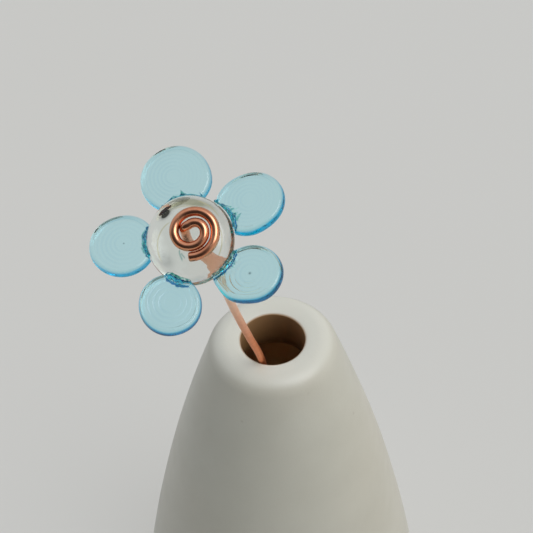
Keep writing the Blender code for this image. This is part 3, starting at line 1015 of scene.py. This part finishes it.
def build_petal(petal, glass, centre_place):
    place = petal_matrix(petal)
    shape = PetalShape(petal, centre_place.inverted() @ place)
    half = PETAL_THICKNESS / 2
    mesh = ring_mesh(petal.name + "_glass", shape.rings, (0, 0, half - PRESSED_DEPTH), (0, 0, -half))
    for label, values in shape.values.items():
        point_values(mesh, label, values)
    mesh.polygons.foreach_set("use_smooth", shape.smooth_faces())
    mesh.transform(place)
    return add_object(petal.name + "_glass", mesh, glass)


# ---------------- stage

def pale_floor():
    """A plain floor that stays pale where the object shades it, and a little cooler seen through glass."""
    floor = Finish("pale_floor")
    floor.set("Roughness", 0.9)
    floor.set("Specular IOR Level", 0.0)
    colour = floor.ramp(floor.noise(3, 2), (0.3, FLOOR_SHADE), (0.7, FLOOR_COLOUR))
    floor.into("Base Color", colour)
    glow = floor.node("ShaderNodeEmission")
    rays = floor.node("ShaderNodeLightPath")
    cooler = floor.mix(1.0, colour, FLOOR_THROUGH_GLASS, "MULTIPLY")
    floor.link(floor.mix(rays.outputs["Is Transmission Ray"], colour, cooler), glow.inputs["Color"])
    seen = rays.outputs["Is Camera Ray"]
    for other in ("Is Glossy Ray", "Is Transmission Ray"):
        either = floor.node("ShaderNodeMath", operation="MAXIMUM")
        floor.link(seen, either.inputs[0])
        floor.link(rays.outputs[other], either.inputs[1])
        seen = either.outputs["Value"]
    share = floor.node("ShaderNodeMath", operation="MULTIPLY")
    floor.link(seen, share.inputs[0])
    share.inputs[1].default_value = FLOOR_EVENNESS
    mixed = floor.node("ShaderNodeMixShader")
    floor.link(share.outputs["Value"], mixed.inputs[0])
    floor.link(floor.shader.outputs[0], mixed.inputs[1])
    floor.link(glow.outputs[0], mixed.inputs[2])
    floor.link(mixed.outputs[0], floor.nodes["Material Output"].inputs["Surface"])
    return floor.material


def build_floor():
    shape = bmesh.new()
    bmesh.ops.create_circle(shape, cap_ends=True, segments=FLOOR_SIDES, radius=FLOOR_RADIUS)
    mesh = bpy.data.meshes.new("floor")
    shape.to_mesh(mesh)
    shape.free()
    floor = add_object("floor", mesh, pale_floor())


def build_world():
    """Soft even sky with a large bright window high on the right, warmer there and dark low in front.

    The camera sees a plain backdrop in its place.
    """
    world = bpy.data.worlds.new("studio")
    bpy.context.scene.world = world
    world.use_nodes = True
    nodes = world.node_tree.nodes
    links = world.node_tree.links
    way = nodes.new("ShaderNodeTexCoord").outputs["Generated"]

    def lobe(direction, low, high, start, end):
        dot = nodes.new("ShaderNodeVectorMath")
        dot.operation = "DOT_PRODUCT"
        links.new(way, dot.inputs[0])
        dot.inputs[1].default_value = Vector(direction).normalized()
        ranged = nodes.new("ShaderNodeMapRange")
        ranged.interpolation_type = "SMOOTHSTEP"
        links.new(dot.outputs["Value"], ranged.inputs["Value"])
        for socket, value in zip(("From Min", "From Max", "To Min", "To Max"), (low, high, start, end)):
            ranged.inputs[socket].default_value = value
        return ranged.outputs["Result"]

    def combine(operation, first, second):
        made = nodes.new("ShaderNodeMath")
        made.operation = operation
        links.new(first, made.inputs[0])
        links.new(second, made.inputs[1])
        return made.outputs["Value"]

    strength = combine("MULTIPLY", combine("ADD", lobe(*SKY), lobe(*WINDOW)), lobe(*SHADE))
    tint = nodes.new("ShaderNodeMix")
    tint.data_type = "RGBA"
    links.new(lobe(*WARM_SIDE), tint.inputs[0])
    tint.inputs[6].default_value = (*COOL_LIGHT, 1.0)
    tint.inputs[7].default_value = (*WARM_LIGHT, 1.0)
    surroundings = nodes["Background"]
    links.new(tint.outputs[2], surroundings.inputs["Color"])
    links.new(strength, surroundings.inputs["Strength"])
    backdrop = nodes.new("ShaderNodeBackground")
    backdrop.inputs["Color"].default_value = (*BACKDROP_COLOUR, 1.0)
    seen = nodes.new("ShaderNodeMixShader")
    links.new(nodes.new("ShaderNodeLightPath").outputs["Is Camera Ray"], seen.inputs["Fac"])
    links.new(surroundings.outputs["Background"], seen.inputs[1])
    links.new(backdrop.outputs["Background"], seen.inputs[2])
    links.new(seen.outputs["Shader"], nodes["World Output"].inputs["Surface"])


def add_camera():
    data = bpy.data.cameras.new("camera")
    data.angle = CAMERA_ANGLE
    data.clip_start = CAMERA_NEAR
    camera = add_object("camera", data)
    forward = Vector((0.0, math.cos(CAMERA_ELEVATION), -math.sin(CAMERA_ELEVATION)))
    upright = forward.to_track_quat("-Z", "Y").to_matrix().to_4x4()
    camera.matrix_world = Matrix.Translation(CAMERA_PLACE) @ upright @ Matrix.Rotation(CAMERA_ROLL, 4, "Z")
    bpy.context.scene.camera = camera


# ---------------- assembly

def show(piece, node):
    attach(piece, "root")
    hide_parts(node)


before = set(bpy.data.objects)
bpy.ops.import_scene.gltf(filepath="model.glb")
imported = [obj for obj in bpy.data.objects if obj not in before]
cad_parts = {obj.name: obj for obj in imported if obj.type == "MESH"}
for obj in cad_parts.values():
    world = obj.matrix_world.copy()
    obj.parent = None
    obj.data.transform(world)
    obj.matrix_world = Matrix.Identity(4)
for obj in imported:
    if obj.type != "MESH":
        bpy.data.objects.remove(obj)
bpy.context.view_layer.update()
add_camera()
build_floor()
build_world()

centre_place = centre_matrix()
show(build_bottle(), "bottle")
show(build_wire(centre_place), "copper_wire")
show(build_glass_centre(centre_place), "glass_centre")
petal_glass = petal_finish()
for petal in PETALS:
    show(build_petal(petal, petal_glass, centre_place), petal.name)

scene = bpy.context.scene
scene.view_settings.view_transform = "Standard"
scene.cycles.diffuse_bounces = WALL_BOUNCES
scene.cycles.glossy_bounces = GLASS_BOUNCES
scene.cycles.max_bounces = GLASS_BOUNCES
scene.cycles.transmission_bounces = GLASS_BOUNCES
